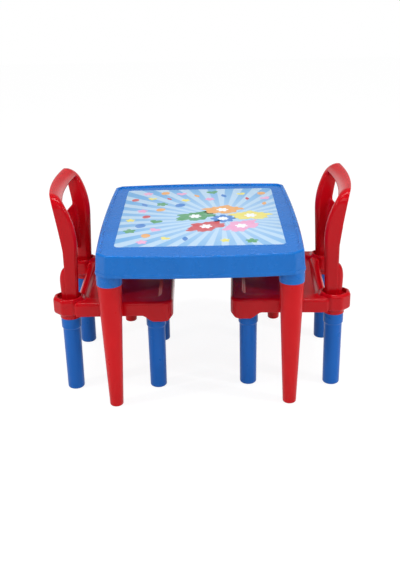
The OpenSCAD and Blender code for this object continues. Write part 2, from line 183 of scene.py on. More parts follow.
def moulded_plastic(name, colour, roughness, level=0.2):
    """Semi-gloss polypropylene: faint flow clouds in its colour, uneven gloss and the mould's fine skin."""
    n = Nodes(bpy.data.materials.new(name))
    clouds = n.noise(scale=7, detail=3)
    flow = n.noise(scale=26, detail=4, stretch=(1, 1, 0.25))
    tone = n.math("ADD", n.math("MULTIPLY", clouds, 0.6), n.math("MULTIPLY", flow, 0.4))
    base = n.ramp(tone, [(0.32, shade(colour, 0.94)), (0.5, colour), (0.7, shade(colour, 1.07))])
    gloss = n.noise(scale=38, detail=5)
    n.finish(base, n.spread(gloss, roughness - 0.03, roughness + 0.05), level)
    skin = n.noise(scale=1400, detail=2)
    waves = n.noise(scale=22, detail=2)
    n.bump(n.math("ADD", n.math("MULTIPLY", skin, 0.08), waves), strength=0.05, distance=0.0006)
    return n.owner


def printed_rays(name, centre, light, middle, count):
    """Printed film: rays in two light blues from one centre, paler towards it, with a fine grain."""
    n = Nodes(bpy.data.materials.new(name))
    place = n.add("ShaderNodeSeparateXYZ", {"Vector": n.coordinates["Object"]}).outputs
    across = n.math("SUBTRACT", place["X"], centre[0] * MM)
    along = n.math("SUBTRACT", place["Y"], centre[1] * MM)
    angle = n.math("ARCTAN2", along, across)
    turns = n.math("MULTIPLY", angle, count / math.tau)
    # The whole number moves no ray. It keeps the value above zero, where its fraction is taken.
    saw = n.math("FRACT", n.math("ADD", turns, 40.0))
    edge = n.math("MULTIPLY", n.math("ABSOLUTE", n.math("SUBTRACT", saw, 0.5)), 2.0)
    rays = n.spread(edge, 0.0, 1.0, from_low=0.47, from_high=0.53)
    squares = [n.math("MULTIPLY", side, side) for side in (across, along)]
    reach = n.math("SQRT", n.math("ADD", *squares))
    fade = n.spread(reach, 0.75, 0.0, from_low=0.01, from_high=0.30)
    pale = n.mix(fade, n.mix(rays, light, middle), shade(light, 1.12))
    grain = n.spread(n.noise(scale=320, detail=2), 0.0, 0.08)
    gloss = n.spread(n.noise(scale=22, detail=3), 0.3, 0.4)
    n.finish(n.mix(grain, pale, shade(middle, 0.9)), gloss, PRINT_LEVEL)
    n.bump(n.noise(scale=240, detail=2), strength=0.05, distance=0.0003)
    return n.owner


def printed_ink(name, colour):
    """Screen-printed ink: its colour thins out a little in places, over the pale film."""
    n = Nodes(bpy.data.materials.new(name))
    thin = n.noise(scale=46, detail=4)
    screen = n.noise(scale=500, detail=1)
    share = n.math("ADD", n.spread(thin, 0.0, 0.16), n.spread(screen, 0.0, 0.08))
    n.finish(n.mix(share, colour, PALE_FILM), n.spread(thin, 0.32, 0.42), PRINT_LEVEL)
    n.bump(screen, strength=0.04, distance=0.0002)
    return n.owner


TABLE_BLUE = moulded_plastic("table_blue_plastic", srgb(6, 108, 195), roughness=0.25, level=0.3)
TABLE_RED = moulded_plastic("table_leg_red_plastic", srgb(204, 10, 20), roughness=0.3)
CHAIR_RED = moulded_plastic("chair_red_plastic", srgb(192, 6, 20), roughness=0.17)
CHAIR_BLUE = moulded_plastic("chair_leg_blue_plastic", srgb(18, 98, 186), roughness=0.3)
PALE_FILM = srgb(214, 226, 238)


# ---- Making meshes ----

# Edges that turn by more than these angles, in degrees, are shaded as sharp ones.
PANEL_SHARP = 38
LEG_SHARP = 42


def add_object(name, data):
    """A new object in the scene."""
    item = bpy.data.objects.new(name, data)
    bpy.context.scene.collection.objects.link(item)
    return item


def add_piece(name, points, faces, material, body, replaced, place=None, normals=None):
    """A new mesh object, made from points in millimetres, that rides on a body and stands for CAD nodes."""
    points = np.asarray(points, float) * MM
    if place is not None:
        turn = np.array(place.to_3x3())
        points = points @ turn.T + np.array(place.translation)
        normals = normals @ turn.T
    mesh = bpy.data.meshes.new(name)
    mesh.from_pydata(points.tolist(), [], faces)
    mesh.validate()
    mesh.materials.append(material)
    piece = add_object(name, mesh)
    mesh.shade_smooth()
    if normals is not None:
        mesh.normals_split_custom_set_from_vertices(normals)
    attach(piece, body)
    if replaced:
        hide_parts(*replaced)
    return piece


class Mesh:
    """Collects points and faces from the forms that make one piece."""

    def __init__(self):
        self.points = []
        self.faces = []

    def add(self, points, faces):
        start = len(self.points)
        self.points.extend(tuple(p) for p in points)
        self.faces.extend([start + i for i in face] for face in faces)

    def rings(self, rings, close_first=False, close_last=False):
        """Joins closed rings of equally many points by quads. Each ring runs anticlockwise."""
        count = len(rings[0])
        points = [p for ring in rings for p in ring]
        faces = []
        for r in range(len(rings) - 1):
            a, b = r * count, (r + 1) * count
            for i in range(count):
                j = (i + 1) % count
                faces.append([a + i, a + j, b + j, b + i])
        if close_first:
            faces.append(list(range(count))[::-1])
        if close_last:
            last = (len(rings) - 1) * count
            faces.append([last + i for i in range(count)])
        self.add(points, faces)

    def prism(self, outline, low, high):
        """A form between two heights, from an outline of x and y pairs."""
        self.rings([[(x, y, z) for x, y in outline] for z in (low, high)], close_first=True, close_last=True)

    def lathe(self, profile, centre, segments=96):
        """Turns a profile of radius and height pairs about an upright axis. A radius of 0 closes an end."""
        angles = [math.tau * i / segments for i in range(segments)]
        rings = [
            [(centre[0] + radius * math.cos(a), centre[1] + radius * math.sin(a), height) for a in angles]
            for radius, height in profile if radius > 0
        ]
        self.rings(rings)
        last_ring = len(self.points) - segments
        first_ring = len(self.points) - segments * len(rings)
        for end, start, is_last in ((0, first_ring, False), (-1, last_ring, True)):
            radius, height = profile[end]
            if radius > 0:
                continue
            tip = len(self.points)
            self.points.append((centre[0], centre[1], height))
            for i in range(segments):
                j = (i + 1) % segments
                edge = [start + i, start + j] if is_last else [start + j, start + i]
                self.faces.append(edge + [tip])

    def piece(self, name, material, body, slot, replaced, sharp=PANEL_SHARP, flat_faces=True):
        """Adds the forms as one piece. Large flat faces can stay flat to the eye beside their roundings."""
        piece = add_piece(name, self.points, self.faces, material, body, replaced)
        piece.data.set_sharp_from_angle(angle=math.radians(sharp))
        if flat_faces:
            modifier = piece.modifiers.new("flat_faces", "WEIGHTED_NORMAL")
            modifier.weight = 100
            modifier.keep_sharp = True


def arc(cx, cy, radius, start, end, steps):
    """Points on an arc, with its angles in degrees."""
    return [
        (cx + radius * math.cos(math.radians(a)), cy + radius * math.sin(math.radians(a)))
        for a in np.linspace(start, end, steps + 1)
    ]


# ---- Table top ----

table_legs = [f"table_leg_{end}_{side}" for end in ("front", "back") for side in ("left", "right")]
table_low, table_high = box_mm("table_top")
table_x, table_y = (table_low + table_high)[:2] / 2

TABLE_WIDTH = 514
TABLE_DEPTH = 628
TABLE_HEIGHT = table_high[2]
SIDE_BOW = 7
FRONT_BOW = 11
CORNER_CUT_FRONT = 25
CORNER_CUT_BACK = 17
CORNER_SOFTNESS = 11
APRON_BOTTOM = TABLE_HEIGHT - 55
APRON_FLARE = 3
LIP_TOP = APRON_BOTTOM + 9
LIP_STEP = 1
APRON_WALL = 3
RIM_ROUNDING = 5
RIM_WIDTH = 10
PANEL_TOP = TABLE_HEIGHT - 3.5
PANEL_BOTTOM = PANEL_TOP - 3
RIB_HEIGHT = 12
RIB_THICKNESS = 2.5
COLLAR_RADIUS = 31.5
COLLAR_BOTTOM = table_low[2]
PLUG_RADIUS = 28
NECK_RADIUS = 24
SHEET_WIDTH = 421
SHEET_DEPTH = 494
SHEET_SHIFT = 15
SHEET_CORNER = 14
SHEET_THICKNESS = 0.5
SHEET_GAP = 0.2
RECESS_SPARE = 0.02
SOCKET_PLAY = 0.1
SOCKET_OUTSIDE = 3.1
RIBS_ALONG = 3
RIBS_ACROSS = 4


def table_corners():
    """The table's outline, inset by its corners' softness, with bowed edges and a flat over each corner."""
    corner_x = TABLE_WIDTH / 2 - SIDE_BOW - CORNER_SOFTNESS
    corner_y = TABLE_DEPTH / 2 - FRONT_BOW - CORNER_SOFTNESS
    shares, shares_back = np.linspace(0, 1, 10), np.linspace(1, 0, 10)

    def quarter(corner_cut):
        cut = corner_cut - (2 - math.sqrt(2)) * CORNER_SOFTNESS
        end_x, end_y = corner_x - cut, corner_y - cut
        side = [(corner_x + SIDE_BOW * (1 - t * t), end_y * t) for t in shares]
        edge = [(end_x * t, corner_y + FRONT_BOW * (1 - t * t)) for t in shares_back]
        return side + edge

    back, front = quarter(CORNER_CUT_BACK), quarter(CORNER_CUT_FRONT)
    return (
        back
        + [(-x, y) for x, y in back[-2::-1]]
        + [(-x, -y) for x, y in front[1:]]
        + [(x, -y) for x, y in front[-2:0:-1]]
    )


def soft_outline(corners):
    """Pairs of a corner and an outward normal, from which a ring at any distance follows."""
    sharp_turn, steps = 0.2, 6
    pairs = []
    count = len(corners)
    for i, here in enumerate(corners):
        before, after = corners[i - 1], corners[(i + 1) % count]
        into = math.atan2(here[1] - before[1], here[0] - before[0]) - math.pi / 2
        out = math.atan2(after[1] - here[1], after[0] - here[0]) - math.pi / 2
        turn = (out - into + math.pi) % math.tau - math.pi
        turns = np.linspace(0, turn, steps + 1) if turn > sharp_turn else [turn / 2]
        pairs += [(here, (math.cos(into + t), math.sin(into + t))) for t in turns]
    return pairs


TABLE_OUTLINE = soft_outline(table_corners())


def table_ring(grow, height):
    """The table's outline, moved out by grow, at a height."""
    reach = CORNER_SOFTNESS + grow
    return [
        (table_x + x + reach * normal_x, table_y + y + reach * normal_y, height)
        for (x, y), (normal_x, normal_y) in TABLE_OUTLINE
    ]


def sheet_ring(grow, height):
    """The printed sheet's outline, moved out by grow, at a height."""
    half_x, half_y, radius = SHEET_WIDTH / 2 + grow, SHEET_DEPTH / 2 + grow, SHEET_CORNER + grow
    ring = []
    for sign_x, sign_y, start in ((1, 1, 0), (-1, 1, 90), (-1, -1, 180), (1, -1, 270)):
        cx = table_x + sign_x * (half_x - radius)
        cy = table_y + SHEET_SHIFT + sign_y * (half_y - radius)
        ring += [(x, y, height) for x, y in arc(cx, cy, radius, start, start + 90, 8)]
    return ring


def table_profile():
    """Pairs of a distance out from the outline and a height, from inside the apron to the panel."""
    lip = APRON_FLARE + LIP_STEP
    top = TABLE_HEIGHT
    edge = 0.8
    groove = 1.2
    crease = 1.6
    apron_start = LIP_TOP + groove
    apron_end = top - RIM_ROUNDING
    points = [(-APRON_WALL, PANEL_BOTTOM), (-APRON_WALL, APRON_BOTTOM + edge)]
    points += arc(-APRON_WALL + edge, APRON_BOTTOM + edge, edge, 180, 270, 3)
    points += arc(lip - edge, APRON_BOTTOM + edge, edge, 270, 360, 4)
    points += arc(lip - edge, LIP_TOP - edge, edge, 0, 80, 4)
    points += [(APRON_FLARE + 0.05, LIP_TOP + 0.1), (APRON_FLARE - 0.1, apron_start)]
    for share in (0.94, 0.7, 0.4, 0.12):
        points.append((APRON_FLARE * share, apron_start + (1 - share) * (apron_end - apron_start)))
    points += arc(-RIM_ROUNDING, apron_end, RIM_ROUNDING, 0, 90, 8)
    points += arc(-RIM_WIDTH + crease, top - crease, crease, 90, 170, 5)
    points += [(-RIM_WIDTH - 0.15, PANEL_TOP + 0.5), (-RIM_WIDTH - 0.5, PANEL_TOP + 0.1)]
    points += [(-RIM_WIDTH - 0.9, PANEL_TOP)]
    return points


def filled_ring(mesh, outer, inner):
    """Triangles between an outer and an inner flat ring, all facing up."""
    points = outer + inner
    loops = [[Vector(p) for p in outer], [Vector(p) for p in inner]]
    faces = []
    for triangle in tessellate_polygon(loops):
        a, b, c = (Vector(points[i]) for i in triangle)
        faces.append(list(triangle) if (b - a).cross(c - a).z > 0 else list(triangle)[::-1])
    mesh.add(points, faces)


def leg_socket(mesh, leg):
    """A collar under the table, with a stepped bore for a leg's plug."""
    neck, bore, outside = NECK_RADIUS + SOCKET_PLAY, PLUG_RADIUS + SOCKET_PLAY, NECK_RADIUS + SOCKET_OUTSIDE
    root, step, shelf = PANEL_BOTTOM - 0.3, APRON_BOTTOM + 0.5, APRON_BOTTOM + 0.6
    mouth_edge, outer_edge, fillet = 0.8, 1.2, 2
    mesh.lathe([
        (neck, root), (neck, step), (bore, step), (bore, COLLAR_BOTTOM + mouth_edge),
        *arc(bore + mouth_edge, COLLAR_BOTTOM + mouth_edge, mouth_edge, 180, 270, 3),
        *arc(COLLAR_RADIUS - outer_edge, COLLAR_BOTTOM + outer_edge, outer_edge, 270, 360, 4),
        (COLLAR_RADIUS, APRON_BOTTOM - fillet),
        *arc(COLLAR_RADIUS + fillet, APRON_BOTTOM - fillet, fillet, 180, 90, 3),
        (COLLAR_RADIUS + fillet, shelf), (outside, shelf), (outside, root),
    ], middle_mm(leg)[:2])


def panel_ribs(mesh):
    """Ribs under the panel, along the table and across it."""
    first, beside, behind = (middle_mm(leg) for leg in table_legs[:3])
    span_x = abs(first[0] - beside[0]) / 2 - COLLAR_RADIUS
    span_y = abs(first[1] - behind[1]) / 2 - COLLAR_RADIUS
    low, high = PANEL_BOTTOM - RIB_HEIGHT, PANEL_BOTTOM + 0.2
    half = RIB_THICKNESS / 2
    reach_x = TABLE_WIDTH / 2 - SIDE_BOW - APRON_WALL
    reach_y = TABLE_DEPTH / 2 - FRONT_BOW - APRON_WALL
    ribs = [(table_x + x, table_y, half, reach_y) for x in np.linspace(-span_x, span_x, RIBS_ALONG)]
    ribs += [(table_x, table_y + y, reach_x, half) for y in np.linspace(-span_y, span_y, RIBS_ACROSS)]
    for x, y, half_x, half_y in ribs:
        left, right, near, far = x - half_x, x + half_x, y - half_y, y + half_y
        mesh.prism([(left, near), (right, near), (right, far), (left, far)], low, high)


def make_table_top():
    """Apron, rim, panel with a recess for the sheet, leg sockets and ribs."""
    mesh = Mesh()
    profile = table_profile()
    mesh.rings([table_ring(grow, height) for grow, height in profile])
    recess_top = sheet_ring(SHEET_GAP, PANEL_TOP)
    filled_ring(mesh, table_ring(*profile[-1]), recess_top)
    recess_floor = sheet_ring(SHEET_GAP, PANEL_TOP - SHEET_THICKNESS - RECESS_SPARE)
    mesh.rings([recess_top, recess_floor], close_last=True)
    mesh.add(table_ring(-APRON_WALL, PANEL_BOTTOM), [list(range(len(TABLE_OUTLINE)))[::-1]])
    for leg in table_legs:
        leg_socket(mesh, leg)
    panel_ribs(mesh)
    mesh.piece("table_top_shell", TABLE_BLUE, "table", "table_blue", ["table_top"])


make_table_top()


# ---- Printed sheet ----

PRINT_LIGHT = srgb(180, 206, 228)
PRINT_MIDDLE = srgb(118, 172, 218)
RAY_CENTRE = (table_x + 62, table_y - 20)
RAYS = 34


def make_sheet():
    """The printed panel, flush in the table's recess."""
    mesh = Mesh()
    low, high = PANEL_TOP - SHEET_THICKNESS, PANEL_TOP
    mesh.rings([sheet_ring(0, low), sheet_ring(0, high)], close_first=True, close_last=True)
    rays = printed_rays("printed_sheet_rays", RAY_CENTRE, PRINT_LIGHT, PRINT_MIDDLE, RAYS)
    mesh.piece("printed_sheet", rays, "table", "printed_sheet", ["table_print"], flat_faces=False)


make_sheet()


# ---- Motifs of the print: flat ink shapes, laid out on a spiral round the middle of the rays ----

INK_COLOURS = {
    "yellow": srgb(226, 214, 96),
    "orange": srgb(226, 158, 74),
    "green": srgb(62, 146, 84),
    "red": srgb(196, 54, 62),
    "pink": srgb(226, 156, 196),
    "blue": srgb(40, 118, 196),
    "white": srgb(236, 240, 246),
}
INK_THICKNESS = 0.05
INK_SINK = 0.02
GOLDEN_ANGLE = math.pi * (3 - math.sqrt(5))
SPIRAL_SPACING = 29
SPIRAL_START = 168
SPIRAL_PLACES = 200
MOTIF_RADII = (13, 15, 17)
MOTIF_MARGIN = 22
SPLASH_COLOURS = ("yellow", "orange", "green", "red", "pink")
SPLASH_RING = 78
SPLASH_RADIUS = 42
SPLASH_FLOWER = 17
MIDDLE_FLOWER = 34
MIDDLE_SPOT = 15


def closed_curve(steps, place):
    """A closed outline, from a function that gives its place at each angle."""
    return [place(i * math.tau / steps) for i in range(steps)]


def flower(radius, petals=5, depth=0.42):
    """A round outline whose edge swells into petals."""
    def place(angle):
        reach = radius * (1 - depth + depth * abs(math.cos(petals * angle / 2)))
        return reach * math.cos(angle), reach * math.sin(angle)
    return closed_curve(60, place)


def leaf(radius, width=0.42, steps=20):
    """Two mirrored curves that meet in points at both ends."""
    right = []
    for i in range(steps):
        bulge = radius * width * math.sin(math.pi * i / steps)
        right.append((bulge, radius * (2 * i / steps - 1)))
    return right + [(-x, -y) for x, y in right]


def heart(radius):
    """The common heart curve."""
    def place(t):
        y = (13 * math.cos(t) - 5 * math.cos(2 * t) - 2 * math.cos(3 * t) - math.cos(4 * t)) / 16
        return -radius * math.sin(t) ** 3, radius * y
    return closed_curve(40, place)


def balloon(radius):
    """A drop that narrows towards its knot."""
    def place(angle):
        narrow = 1 - 0.3 * max(0.0, -math.sin(angle)) ** 2
        return 0.8 * radius * narrow * math.cos(angle), radius * math.sin(angle)
    return closed_curve(32, place)


def splash(radius, turn):
    """A soft blot with uneven lobes, wider than it is deep."""
    # Each wave of its edge has a height, a number of lobes, and how far it follows the turn.
    waves = ((0.13, 5, 1), (0.08, 9, 2), (0.05, 17, 0))

    def place(angle):
        lobes = sum(height * math.sin(count * angle + share * turn) for height, count, share in waves)
        reach = radius * (1 + lobes)
        return 1.25 * reach * math.cos(angle), 0.8 * reach * math.sin(angle)
    return closed_curve(120, place)


def add_motif(mesh, outline, centre, turn, layer):
    """A flat shape of ink on the sheet. A higher layer lies on top of a lower one."""
    cosine, sine = math.cos(turn), math.sin(turn)
    placed = [(centre[0] + x * cosine - y * sine, centre[1] + x * sine + y * cosine) for x, y in outline]
    mesh.prism(placed, PANEL_TOP - INK_SINK, PANEL_TOP + layer * INK_THICKNESS)


def round_rays(reach, angle):
    """The place at a reach from the middle of the rays, at an angle."""
    return RAY_CENTRE[0] + reach * math.cos(angle), RAY_CENTRE[1] + reach * math.sin(angle)


def middle_motifs(inks):
    """A ring of blots, each with a white flower, round a larger flower."""
    for number, name in enumerate(SPLASH_COLOURS):
        centre = round_rays(SPLASH_RING, math.tau * (number / len(SPLASH_COLOURS) + 0.05))
        add_motif(inks[name], splash(SPLASH_RADIUS, 1.7 * number), centre, 0.2 * number, 1)
        add_motif(inks["white"], flower(SPLASH_FLOWER, petals=6), centre, number, 2)
    add_motif(inks["blue"], flower(MIDDLE_FLOWER, petals=8, depth=0.3), RAY_CENTRE, 0, 1)
    add_motif(inks["white"], flower(MIDDLE_SPOT, petals=8, depth=0.3), RAY_CENTRE, 0, 2)


def spiral_motifs(inks):
    """Small shapes at the places of a spiral that lie on the sheet, beyond the blots."""
    names = [name for name in INK_COLOURS if name != "white"]
    shapes = (flower, leaf, heart, balloon)
    for number in range(SPIRAL_PLACES):
        reach = SPIRAL_SPACING * math.sqrt(number)
        centre = round_rays(reach, number * GOLDEN_ANGLE)
        aside = abs(centre[0] - table_x) > SHEET_WIDTH / 2 - MOTIF_MARGIN
        beyond = abs(centre[1] - table_y - SHEET_SHIFT) > SHEET_DEPTH / 2 - MOTIF_MARGIN
        if reach < SPIRAL_START or aside or beyond:
            continue
        outline = shapes[number % len(shapes)](MOTIF_RADII[number % len(MOTIF_RADII)])
        turn = 0.5 * math.sin(2.3 * number)
        add_motif(inks[names[number % len(names)]], outline, centre, turn, 1)


def make_motifs():
    """One piece for each ink."""
    inks = {name: Mesh() for name in INK_COLOURS}
    middle_motifs(inks)
    spiral_motifs(inks)
    for name, mesh in inks.items():
        ink = printed_ink(f"printed_{name}_ink", INK_COLOURS[name])
        mesh.piece(f"print_motifs_{name}", ink, "table", "printed_sheet", [], flat_faces=False)


make_motifs()


# ---- Legs ----

LEG_TOP_RADIUS = 30.3
LEG_FOOT_RADIUS = 17.3
LEG_FOOT_ROUNDING = 4
LEG_WALL = 2.5
LEG_PLUG_STEP = APRON_BOTTOM + 0.4
FOOT_HOLLOW = 1.2
FOOT_LEDGE = 0.5
CHAIR_LEG_TOP_RADIUS = 22.9
CHAIR_FOOT_RADIUS = 22
CHAIR_FOOT_ROUNDING = 5
CHAIR_COLLAR_RADIUS = 25.5
CHAIR_COLLAR_HEIGHT = 30
CHAIR_COLLAR_TOP = 206
CHAIR_PLUG_RADIUS = 24


def foot_profile(radius, rounding, hollow_end, ledge_end, last_angle):
    """A leg's closed lower end, from its middle outwards. The middle stands clear of the floor."""
    flat = radius - rounding
    profile = [(0, FOOT_HOLLOW), (flat - hollow_end, FOOT_HOLLOW), (flat - ledge_end, FOOT_LEDGE)]
    return profile + arc(flat, rounding, rounding, 270, last_angle, 8)


def add_leg(name, profile, material, body, slot, node, segments):
    """Turns a leg's profile about its node's axis and adds it as a piece."""
    mesh = Mesh()
    mesh.lathe(profile, middle_mm(node)[:2], segments)
    mesh.piece(name, material, body, slot, [node], sharp=LEG_SHARP)


def make_table_leg(node):
    """A hollow tapered leg, with a plug that steps in to a neck."""
    top = box_mm(node)[1][2]
    foot, rounding = LEG_FOOT_RADIUS, LEG_FOOT_ROUNDING
    inner = NECK_RADIUS - LEG_WALL
    profile = foot_profile(foot, rounding, hollow_end=3, ledge_end=1.4, last_angle=355)
    steps = 12
    for i in range(1, steps + 1):
        share = i / steps
        height = rounding + share * (COLLAR_BOTTOM - 1 - rounding)
        profile.append((foot + share * (LEG_TOP_RADIUS - foot), height))
    profile += [
        (LEG_TOP_RADIUS - 0.3, COLLAR_BOTTOM - 0.2), (LEG_TOP_RADIUS - 0.8, COLLAR_BOTTOM),
        (PLUG_RADIUS, COLLAR_BOTTOM), (PLUG_RADIUS, LEG_PLUG_STEP), (NECK_RADIUS, LEG_PLUG_STEP),
        (NECK_RADIUS, top - 0.4), (NECK_RADIUS - 0.4, top), (inner, top),
        (inner, APRON_BOTTOM - LEG_WALL), (foot - LEG_WALL, rounding + LEG_WALL), (0, rounding + LEG_WALL),
    ]
    add_leg(node + "_tapered", profile, TABLE_RED, "table", "table_leg_red", node, segments=96)


def make_chair_leg(node, body):
    """A hollow leg that is nearly a plain tube, with a collar below its plug."""
    top = box_mm(node)[1][2]
    foot, rounding = CHAIR_FOOT_RADIUS, CHAIR_FOOT_ROUNDING
    step = CHAIR_COLLAR_TOP - CHAIR_COLLAR_HEIGHT
    widen = CHAIR_COLLAR_RADIUS - CHAIR_LEG_TOP_RADIUS
    inner = CHAIR_LEG_TOP_RADIUS - LEG_WALL
    collar, collar_top, plug = CHAIR_COLLAR_RADIUS, CHAIR_COLLAR_TOP, CHAIR_PLUG_RADIUS
    profile = foot_profile(foot, rounding, hollow_end=4, ledge_end=1.6, last_angle=358)
    for share in (0.1, 0.35, 0.65, 0.9, 1):
        height = rounding + share * (step - 2 - rounding)
        profile.append((foot + (CHAIR_LEG_TOP_RADIUS - foot) * share, height))
    profile += [
        (CHAIR_LEG_TOP_RADIUS + 0.5, step - 0.4),
        (collar - 0.6, step + widen - 0.4), (collar - 0.15, step + widen + 0.3),
        (collar, step + widen + 1.2), (collar, collar_top - 1),
        (collar - 0.3, collar_top - 0.3), (collar - 1, collar_top),
        (plug, collar_top), (plug, top - 0.6), (plug - 0.6, top), (inner, top), (inner, step),
        (foot - LEG_WALL, rounding + LEG_WALL), (0, rounding + LEG_WALL),
    ]
    add_leg(node + "_tube", profile, CHAIR_BLUE, body, "chair_leg_blue", node, segments=80)


for leg in table_legs:
    make_table_leg(leg)
for side in ("left", "right"):
    for end in ("front", "rear"):
        for hand in ("near", "far"):
            make_chair_leg(f"{side}_chair_leg_{end}_{hand}", f"{side}_chair")


# ---- Forms given by their distance ----
# A form is a function of x, y and z that gives the distance to its surface, negative inside.

# How far the grid reaches past a form, before and after it, in steps.
GRID_BEFORE = 1.3
GRID_AFTER = 2
# Points of the thinned-out mesh that lie closer than this are joined, in millimetres.
SLIVER = 0.35
# Both keep a division away from zero: one by a length, one by a squared slope.
TINY = 1e-9
LEAST_SLOPE = 0.3


def soft_max(a, b, radius):
    """What lies in both forms, with the edge where they meet rounded."""
    round_part = np.hypot(np.maximum(radius + a, 0), np.maximum(radius + b, 0))
    return np.minimum(-radius, np.maximum(a, b)) + round_part


def soft_min(a, b, radius):
    """Both forms together, with a fillet in the corner where they meet."""
    return -soft_max(-a, -b, radius)


def round_corner(a, b, radius):
    """Where two edges, each moved in by the radius, meet in a round corner."""
    return np.hypot(np.maximum(a, 0), np.maximum(b, 0)) + np.minimum(np.maximum(a, b), 0) - radius


def smooth_step(value, start, end):
    """Goes from 0 to 1 between start and end, without a kink."""
    t = np.clip((value - start) / (end - start), 0, 1)
    return t * t * (3 - 2 * t)


def rectangle(x, y, low, high, radius):
    """Distance to a rectangle with round corners, negative inside."""
    qx = np.abs(x - (low[0] + high[0]) / 2) - (high[0] - low[0]) / 2 + radius
    qy = np.abs(y - (low[1] + high[1]) / 2) - (high[1] - low[1]) / 2 + radius
    return round_corner(qx, qy, radius)


def polygon(x, y, points):
    """Distance to a closed outline, negative inside."""
    nearest = np.full(np.broadcast(x, y).shape, np.inf)
    inside = np.zeros(nearest.shape, bool)
    for (ax, ay), (bx, by) in zip(points, points[1:] + points[:1]):
        ex, ey = bx - ax, by - ay
        if ex == 0 and ey == 0:
            continue
        t = np.clip(((x - ax) * ex + (y - ay) * ey) / (ex * ex + ey * ey), 0, 1)
        nearest = np.minimum(nearest, (x - ax - t * ex) ** 2 + (y - ay - t * ey) ** 2)
        if ay != by:
            crosses = (ay > y) != (by > y)
            inside ^= crosses & (x < ax + (y - ay) * ex / ey)
    return np.where(inside, -1, 1) * np.sqrt(nearest)


# A grid cell's corners, and the pairs of them that differ along one axis alone.
CORNERS = [(i, j, k) for i in (0, 1) for j in (0, 1) for k in (0, 1)]
CELL_EDGES = [
    (a, b) for a in CORNERS for b in CORNERS
    if a < b and sum(abs(p - q) for p, q in zip(a, b)) == 1
]


def form_slope(form, points, reach=0.4):
    """The direction in which the distance to a form grows, at each point."""
    parts = []
    for axis in range(3):
        shift = np.zeros(3)
        shift[axis] = reach
        parts.append((form(*(points + shift).T) - form(*(points - shift).T)) / (2 * reach))
    return np.stack(parts, 1)


def settle(form, points, passes, most):
    """Moves points onto a form's surface, none of them further than most in one pass."""
    for _ in range(passes):
        slope = form_slope(form, points)
        move = (form(*points.T) / np.maximum((slope * slope).sum(1), LEAST_SLOPE))[:, None] * slope
        size = np.linalg.norm(move, axis=1, keepdims=True)
        points = points - move * np.minimum(1, most / np.maximum(size, TINY))
    return points


def form_surface(form, low, high, step):
    """Points and quads on a form's surface: one point in each grid cell that the surface crosses."""
    axes = [np.arange(low[i] - GRID_BEFORE * step, high[i] + GRID_AFTER * step, step) for i in range(3)]
    values = form(axes[0][:, None, None], axes[1][None, :, None], axes[2][None, None, :])
    inside = values < 0
    shape = tuple(n - 1 for n in inside.shape)
    filled = np.zeros(shape, np.int8)
    for i, j, k in CORNERS:
        filled += inside[i:i + shape[0], j:j + shape[1], k:k + shape[2]]
    active = (filled > 0) & (filled < 8)
    cells = np.argwhere(active)
    number = np.full(shape, -1, np.int64)
    number[active] = np.arange(len(cells))
    total = np.zeros((len(cells), 3))
    crossings = np.zeros(len(cells))
    for a, b in CELL_EDGES:
        start = values[tuple((cells + a).T)]
        end = values[tuple((cells + b).T)]
        crossed = (start < 0) != (end < 0)
        t = np.where(crossed, start / np.where(crossed, start - end, 1), 0)
        place = np.array(a) + t[:, None] * (np.array(b) - np.array(a))
        total += np.where(crossed[:, None], place, 0)
        crossings += crossed
    points = np.array([axis[0] for axis in axes]) + (cells + total / crossings[:, None]) * step
    quads = []
    for axis in range(3):
        u, v = np.zeros(3, int), np.zeros(3, int)
        u[(axis + 1) % 3] = 1
        v[(axis + 2) % 3] = 1
        first = np.delete(inside, -1, axis)
        edges = np.argwhere(first != np.delete(inside, 0, axis))
        edges = edges[(edges[:, (axis + 1) % 3] > 0) & (edges[:, (axis + 2) % 3] > 0)]
        round_edge = [edges - u - v, edges - v, edges, edges - u]
        corners = np.stack([number[tuple(c.T)] for c in round_edge], 1)
        outwards = first[tuple(edges.T)]
        quads.append(np.where(outwards[:, None], corners, corners[:, ::-1]))
    return points, np.concatenate(quads)


def simplified(points, quads, share):
    """The same surface with a share of its triangles, the fewest where it is flat."""
    mesh = bpy.data.meshes.new("dense")
    mesh.from_pydata(points.tolist(), [], quads.tolist())
    dense = add_object("dense", mesh)
    dense.modifiers.new("thin_out", "DECIMATE").ratio = share
    dense.modifiers.new("no_slivers", "WELD").merge_threshold = SLIVER
    graph = bpy.context.evaluated_depsgraph_get()
    result = bpy.data.meshes.new_from_object(dense.evaluated_get(graph))
    coordinates = np.zeros(len(result.vertices) * 3)
    result.vertices.foreach_get("co", coordinates)
    faces = [list(p.vertices) for p in result.polygons]
    bpy.data.objects.remove(dense)
    bpy.data.meshes.remove(mesh)
    bpy.data.meshes.remove(result)
    return coordinates.reshape(-1, 3), faces


def form_mesh(form, low, high, step, share):
    """Points, faces and normals of a form."""
    points, quads = form_surface(form, low, high, step)
    points = settle(form, points, passes=3, most=0.5 * step)
    points, faces = simplified(points, quads, share)
    points = settle(form, points, passes=1, most=0.2 * step)
    slope = form_slope(form, points, reach=0.7)
    normals = slope / np.maximum(np.linalg.norm(slope, axis=1, keepdims=True), TINY)
    return points, faces, normals


# ---- Chair seat ----

